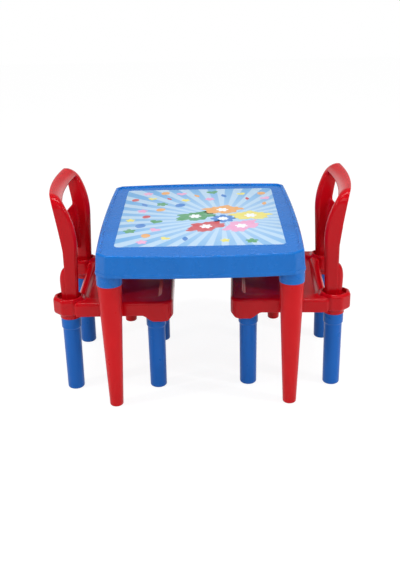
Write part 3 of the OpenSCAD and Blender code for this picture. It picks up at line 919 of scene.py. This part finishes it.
LEG_A = distance_between("left_chair_leg_front_near", "left_chair_leg_rear_near") / 2
LEG_B = distance_between("left_chair_leg_rear_near", "left_chair_leg_rear_far") / 2
SEAT_HEIGHT = 256
SEAT_FRONT = LEG_A + 46
SEAT_REAR = -LEG_A + 18.7
SEAT_SIDE = LEG_B + 39
SEAT_BOTTOM = 219
SEAT_CORNER = 30
SEAT_REAR_CORNER = 4
SEAT_ROUNDING = 9
SEAT_WALL = 3
DISH_DEPTH = 9
DISH_SLOPE = 13
DISH_FRONT = 28
DISH_SIDE = 33
DISH_REAR = 17
DISH_CORNER = 30
SKIRT_DROP = 17
SKIRT_RISE = 9
SKIRT_ASIDE = (92, 122)
SKIRT_ALONG = (76, 108)
SKIRT_FRONT = 141
BLOCK_TOP = 265
BLOCK_REAR = 41
BLOCK_INNER = 38
BLOCK_CUT = 25
BLOCK_SOFTNESS = 14
BLOCK_ROUNDING = 9
BLOCK_FILLET = 5
BLOCK_TUCK = 0.96
MOUTH_RADIUS = 30.5
MOUTH_FLOOR = 240
SOCKET_RADIUS = 27.1
SOCKET_BORE = 24.1
SOCKET_BOTTOM = 206
SOCKET_TOP = 237
SEAT_RIB_HEIGHT = 10
SEAT_RIB_THICKNESS = 2.5
SEAT_RIB_BOTTOM = SEAT_HEIGHT - DISH_DEPTH - SEAT_WALL - SEAT_RIB_HEIGHT
# Roundings of the seat's lower edge, the edge inside it, the sockets' ends, their roots, bores and mouths.
LOWER_EDGE = 1.2
INSIDE_EDGE = 0.7
SOCKET_EDGE = 0.8
SOCKET_FILLET = 1
BORE_EDGE = 0.6
MOUTH_EDGE = 1.6


def block_outline():
    """The socket block from above, about its leg's axis, with +y outwards, inset by its softness."""
    soft = BLOCK_SOFTNESS
    rear, inner, outer = -BLOCK_REAR + soft, BLOCK_INNER - soft, SEAT_SIDE - LEG_B - soft
    cut = BLOCK_CUT - (2 - math.sqrt(2)) * soft
    return [
        (inner - cut, -inner), (inner, -inner + cut), (inner, outer - cut), (inner - cut, outer),
        (rear + cut, outer), (rear, outer - cut), (rear, -inner + cut), (rear + cut, -inner),
    ]


BLOCK_OUTLINE = block_outline()


def seat_outside(x, y, z):
    """The seat's outer form, without a lower end. y is the distance from the seat's middle line."""
    corner = np.where(x > 0, SEAT_CORNER, SEAT_REAR_CORNER)
    outline = rectangle(x, y, (SEAT_REAR, -SEAT_SIDE), (SEAT_FRONT, SEAT_SIDE), corner)
    dish = -rectangle(x, y, (SEAT_REAR + DISH_REAR, -SEAT_SIDE + DISH_SIDE),
                      (SEAT_FRONT - DISH_FRONT, SEAT_SIDE - DISH_SIDE), DISH_CORNER)
    top = SEAT_HEIGHT - DISH_DEPTH * smooth_step(dish, 0, DISH_SLOPE)
    deck = soft_max(outline, z - top, SEAT_ROUNDING)
    under = np.clip((SEAT_BOTTOM + BLOCK_ROUNDING - z) / BLOCK_ROUNDING, 0, 1)
    tuck = BLOCK_ROUNDING * (1 - np.sqrt(1 - BLOCK_TUCK * under * under))
    block = polygon(x + LEG_A, y - LEG_B, BLOCK_OUTLINE) - BLOCK_SOFTNESS + tuck
    block = soft_max(block, z - BLOCK_TOP, BLOCK_ROUNDING)
    return soft_min(deck, block, BLOCK_FILLET)


def seat_lower_edge(x, y):
    """Height of the apron's lower edge, which sags round the front corners."""
    corner = smooth_step(y, *SKIRT_ASIDE)
    sag = SKIRT_DROP * smooth_step(x, *SKIRT_ALONG) - SKIRT_RISE * smooth_step(x, SKIRT_FRONT, SEAT_FRONT)
    return SEAT_BOTTOM - sag * corner


def seat_ribs(x, y, z):
    """Ribs along the seat's middle and halfway to each leg, and two across it."""
    half = SEAT_RIB_THICKNESS / 2
    ribs = np.minimum(y - half, np.abs(y - LEG_B / 2) - half)
    for place in (SEAT_REAR + LEG_A / 2, LEG_A / 3):
        ribs = np.minimum(ribs, np.abs(x - place) - half)
    return np.maximum(ribs, SEAT_RIB_BOTTOM - z)


def seat_form(x, y, z):
    """A shell with ribs and leg sockets beneath, and the backrest's two mouths on top."""
    y = np.abs(y)
    outside = seat_outside(x, y, z)
    within = outside + 0.5 * SEAT_WALL
    shell = soft_max(outside, seat_lower_edge(x, y) - z, LOWER_EDGE)
    shell = soft_max(shell, -(outside + SEAT_WALL), INSIDE_EDGE)
    solid = np.minimum(shell, np.maximum(seat_ribs(x, y, z), within))
    rear = np.hypot(x + LEG_A, y - LEG_B)
    both = np.minimum(rear, np.hypot(x - LEG_A, y - LEG_B))
    socket = np.maximum(soft_max(both - SOCKET_RADIUS, SOCKET_BOTTOM - z, SOCKET_EDGE), within)
    cup = np.maximum(np.maximum(rear - MOUTH_RADIUS - SEAT_WALL, SOCKET_TOP - z), within)
    solid = soft_min(solid, np.minimum(socket, cup), SOCKET_FILLET)
    solid = soft_max(solid, -np.maximum(both - SOCKET_BORE, z - SOCKET_TOP), BORE_EDGE)
    mouth = np.maximum(rear - MOUTH_RADIUS, MOUTH_FLOOR - z)
    return soft_max(solid, -mouth, MOUTH_EDGE)


# ---- Chair backrest ----

BACKREST_HEIGHT = 531
POST_WIDTH = 26
POST_DEPTH = 38.7
POST_TAPER = 5.8
POST_MIDDLE = -LEG_A + 13.4
POST_FRONT = POST_MIDDLE + POST_DEPTH / 2
POST_REAR = POST_MIDDLE - POST_DEPTH / 2
BACKREST_HALF = LEG_B + POST_WIDTH / 2
BACKREST_BOW = 15
BACKREST_WALL = 3
RAIL_HEIGHT = 28
SHOULDER_RADIUS = 34
INNER_RADIUS = SHOULDER_RADIUS - POST_WIDTH
FRONT_FALL = 40
FRONT_LEAN_START = 399
FRONT_POWER = 2.2
REAR_LEAN = 22
REAR_LEAN_START = 380
REAR_POWER = 1.15
# How far the frame's curves run on past their ends, where 1 is the end.
RUN_ON = 1.2
FOOT_TOP = 255
FOOT_PLAY = 0.1
FOOT_EDGE = 1.5
FOOT_FILLET = 2.5
OUTER_EDGE = 12.7
INNER_EDGE = 12
REAR_EDGE = 1.9
CHANNEL_EDGE = 1.0
SPLAT_TOP = 428
SPLAT_BOTTOM = 302
SPLAT_THICKNESS = 4
SPLAT_EDGE = 1.8
SPLAT_OVERLAP = 1.5
SPLAT_FILLET = 8
RIDGE_PITCH = 7.5
RIDGE_HEIGHT = 0.55
RIDGE_REACH = 17
RIDGE_SLANT = 0.8
RIDGE_SLANT_RISE = (380, 420)
HEEL_TOP = 340
HEEL_DOME = 36
HEEL_REACH = 15
HEEL_HALF = 11.8
HEEL_TAPER_HEIGHT = 50
HEEL_TAPER = 2
HEEL_EDGE = 2
HEEL_FILLET = 2


def frame_outline(y, z, half, top, radius):
    """Seen from the front: upright sides, round shoulders, a straight top and no lower end."""
    return round_corner(np.abs(y) - half + radius, z - top + radius, radius)


def leaning(z, start, reach, power):
    """How far an edge has curved back at a height, and how steeply."""
    rise = BACKREST_HEIGHT - start
    t = np.clip((z - start) / rise, 0, RUN_ON)
    return reach * t ** power, reach * power * np.maximum(t, 1e-6) ** (power - 1) / rise


def backrest_front(bowed, z):
    """Distance to the frame's front. bowed is x with the backrest's bow taken out."""
    back, slope = leaning(z, FRONT_LEAN_START, FRONT_FALL, FRONT_POWER)
    taper = POST_TAPER * np.clip((FRONT_LEAN_START - z) / (FRONT_LEAN_START - FOOT_TOP), 0, RUN_ON)
    return (bowed - POST_FRONT + back + taper) / np.sqrt(1 + slope * slope)


def backrest_rear(bowed, z):
    """Distance to the frame's rear."""
    back, slope = leaning(z, REAR_LEAN_START, REAR_LEAN, REAR_POWER)
    return (POST_REAR - back - bowed) / np.sqrt(1 + slope * slope)


def splat_form(rear, z):
    """A thin sheet, flush with the rear of the posts, from the distance to that rear."""
    sheet = np.abs(rear + SPLAT_THICKNESS / 2) - SPLAT_THICKNESS / 2
    return soft_max(sheet, np.maximum(SPLAT_BOTTOM - z, z - SPLAT_TOP), SPLAT_EDGE)


def post_ridges(rear, inner, z):
    """Low ridges across each post's inner side, beside the splat. They fade out towards the front."""
    slant = RIDGE_SLANT * rear * smooth_step(z, *RIDGE_SLANT_RISE)
    wave = 0.5 + 0.5 * np.cos(math.tau * (z + slant) / RIDGE_PITCH)
    fade_in = smooth_step(z, SPLAT_BOTTOM + 8, SPLAT_BOTTOM + 24)
    fade = fade_in * (1 - smooth_step(z, SPLAT_TOP - 6, SPLAT_TOP + 4))
    depth = 1 - smooth_step(-rear, 0.6 * RIDGE_REACH, RIDGE_REACH)
    return RIDGE_HEIGHT * wave * fade * depth * (1 - smooth_step(np.abs(inner), 4, 8))


def heel_form(x, y, z):
    """The rounded heel behind a post. y is the distance from the post's middle."""
    shoulder = HEEL_TOP - HEEL_DOME
    over = np.clip((z - shoulder) / HEEL_DOME, 0, 1)
    below = np.clip((shoulder - z) / HEEL_TAPER_HEIGHT, 0, 1)
    reach = HEEL_REACH * np.sqrt(np.maximum(1 - over * over, 0.0)) - HEEL_TAPER * below ** 1.5
    rear = POST_REAR - reach - x
    side = np.abs(y) - HEEL_HALF
    heel = soft_max(soft_max(side, rear, HEEL_HALF - 1), z - HEEL_TOP, HEEL_EDGE)
    return np.maximum(heel, x - POST_MIDDLE)


def backrest_form(x, y, z):
    """An open-backed frame with a splat between its posts, and a heel and a foot at each post."""
    wall = BACKREST_WALL
    share = np.clip(np.abs(y) / BACKREST_HALF, 0, 1)
    bowed = x + BACKREST_BOW * (1 - share * share)
    outer = frame_outline(y, z, BACKREST_HALF, BACKREST_HEIGHT, SHOULDER_RADIUS)
    inner = frame_outline(y, z, BACKREST_HALF - POST_WIDTH, BACKREST_HEIGHT - RAIL_HEIGHT, INNER_RADIUS)
    front = backrest_front(bowed, z)
    rear = backrest_rear(bowed, z)
    solid = soft_max(outer, front, OUTER_EDGE)
    solid = soft_max(solid, -inner - post_ridges(rear, inner, z), INNER_EDGE)
    solid = soft_max(solid, rear, REAR_EDGE)
    solid = np.maximum(solid, FOOT_TOP - 1 - z)
    splat = np.maximum(splat_form(rear, z), inner - SPLAT_OVERLAP)
    solid = soft_max(soft_min(solid, splat, SPLAT_FILLET), rear, REAR_EDGE)
    hollow = soft_max(outer + wall, front + wall, OUTER_EDGE - wall)
    hollow = soft_max(hollow, wall - inner, INNER_EDGE - wall)
    frame_shell = soft_max(solid, -hollow, CHANNEL_EDGE)
    post_y = np.abs(y) - LEG_B
    heel = np.maximum(heel_form(x, post_y, z), FOOT_TOP - 1 - z)
    whole = soft_min(frame_shell, heel, HEEL_FILLET)
    disc = np.hypot(x + LEG_A, post_y) - MOUTH_RADIUS + FOOT_PLAY
    middle = (MOUTH_FLOOR + FOOT_TOP) / 2
    foot = soft_max(disc, np.abs(z - middle) - (FOOT_TOP - MOUTH_FLOOR) / 2, FOOT_EDGE)
    return soft_min(whole, foot, FOOT_FILLET)


# The grids' steps, and the share of each mesh's triangles that is kept.
SEAT_STEP = 1.5
BACKREST_STEP = 1.3
SEAT_SHARE = 0.19
BACKREST_SHARE = 0.22

backrest_side = LEG_B + MOUTH_RADIUS
chair_meshes = {
    "seat": form_mesh(
        seat_form, (-LEG_A - BLOCK_REAR, -SEAT_SIDE, SEAT_BOTTOM - SKIRT_DROP),
        (SEAT_FRONT, SEAT_SIDE, BLOCK_TOP), SEAT_STEP, SEAT_SHARE),
    "backrest": form_mesh(
        backrest_form, (POST_REAR - REAR_LEAN - BACKREST_BOW, -backrest_side, MOUTH_FLOOR),
        (POST_FRONT, backrest_side, BACKREST_HEIGHT), BACKREST_STEP, BACKREST_SHARE),
}
for side in ("left", "right"):
    place = chair_place(side)
    body = f"{side}_chair"
    for part, (points, faces, normals) in chair_meshes.items():
        node = f"{body}_{part}"
        add_piece(node + "_shell", points, faces, CHAIR_RED, body, [node], place, normals)


# ---- Camera, lamps, floor and background, in metres and radians ----

CAMERA_LENS = 54.73
CAMERA_SENSOR = 36
CAMERA_PLACE = (0.0031, -2.2186, 1.1322)
CAMERA_PITCH, CAMERA_YAW, CAMERA_ROLL = 0.390, -0.0063, -0.0211
# The world's brightness: as light on the object, and in reflections above and in front.
WORLD_LIGHT = 0.52
WORLD_ABOVE = 0.36
WORLD_FRONT = 0.08
# The share of the floor's look that is plain white, and how bright it is. The rest is lit.
FLOOR_SHARE = 0.75
FLOOR_WHITE = 1.18
FLOOR_HALF = 6.0
# Each lamp's name, place, width and height, and power in watts. All face one point.
LAMP_TARGET = (0, 0, 0.35)
LAMPS = (
    ("overhead", (0, -0.25, 2.4), (1.5, 0.42), 21),
    ("left_box", (-1.9, -0.9, 1.5), (0.16, 0.9), 14),
    ("right_box", (1.9, -0.9, 1.5), (0.16, 0.9), 15),
    ("front_box", (0.2, -2.8, 1.9), (1.6, 1.0), 12),
)


def make_camera():
    """The camera at the photograph's viewing angle."""
    data = bpy.data.cameras.new("camera")
    data.lens = CAMERA_LENS
    data.sensor_width = CAMERA_SENSOR
    camera = add_object("camera", data)
    pitch, yaw, roll = CAMERA_PITCH, CAMERA_YAW, CAMERA_ROLL
    forward = Vector((math.sin(yaw) * math.cos(pitch), math.cos(yaw) * math.cos(pitch), -math.sin(pitch)))
    right = Vector((math.cos(yaw), -math.sin(yaw), 0))
    up = right.cross(forward)
    rolled_right = right * math.cos(roll) + up * math.sin(roll)
    rolled_up = up * math.cos(roll) - right * math.sin(roll)
    turn = Matrix((rolled_right, rolled_up, -forward)).transposed().to_4x4()
    camera.matrix_world = Matrix.Translation(CAMERA_PLACE) @ turn
    bpy.context.scene.camera = camera


def add_lamp(name, place, size, power):
    """A soft rectangular lamp that faces the lamps' target."""
    data = bpy.data.lights.new(name, "AREA")
    data.shape = "RECTANGLE"
    data.size, data.size_y = size
    data.energy = power
    lamp = add_object(name, data)
    lamp.location = place
    lamp.rotation_euler = (Vector(LAMP_TARGET) - Vector(place)).to_track_quat("-Z", "Y").to_euler()


def make_world():
    """White to the eye. Reflections find it white along the horizon behind, greyer above, dark in front."""
    world = bpy.data.worlds.new("studio")
    bpy.context.scene.world = world
    n = Nodes(world)
    direction = n.add("ShaderNodeSeparateXYZ", {"Vector": n.coordinates["Generated"]}).outputs
    backdrop = n.spread(direction["Z"], 1.0, WORLD_ABOVE, from_low=0.08, from_high=0.3)
    reflected = n.spread(direction["Y"], WORLD_FRONT, backdrop, from_low=-0.1, from_high=0.5)
    lighting = n.choose(n.rays("Is Glossy Ray"), WORLD_LIGHT, reflected)
    strength = n.choose(n.rays("Is Camera Ray", "Is Transmission Ray"), lighting, 1.0)
    n.fill(n.tree.nodes["Background"], {"Color": (1, 1, 1, 1), "Strength": strength})


def make_floor():
    """A pale floor. To the eye it is white, less a share of the shadow that lies on it."""
    n = Nodes(bpy.data.materials.new("pale_floor"))
    n.finish((0.8, 0.8, 0.8, 1), roughness=0.9, level=0.0)
    white = n.add("ShaderNodeEmission", {"Color": (1, 1, 1, 1), "Strength": FLOOR_WHITE})
    seen = n.rays("Is Camera Ray", "Is Transmission Ray", "Is Glossy Ray")
    share = n.choose(seen, 0.0, FLOOR_SHARE)
    blend = n.add("ShaderNodeMixShader", {0: share, 1: n.shader.outputs[0], 2: white.outputs[0]})
    n.fill(n.tree.nodes["Material Output"], {"Surface": blend.outputs[0]})
    half = FLOOR_HALF
    corners = [(-half, -half, 0), (half, -half, 0), (half, half, 0), (-half, half, 0)]
    mesh = bpy.data.meshes.new("floor")
    mesh.from_pydata(corners, [], [[0, 1, 2, 3]])
    mesh.materials.append(n.owner)
    floor = add_object("floor", mesh)


make_camera()
make_world()
make_floor()
for lamp in LAMPS:
    add_lamp(*lamp)
bpy.context.scene.view_settings.view_transform = "Standard"
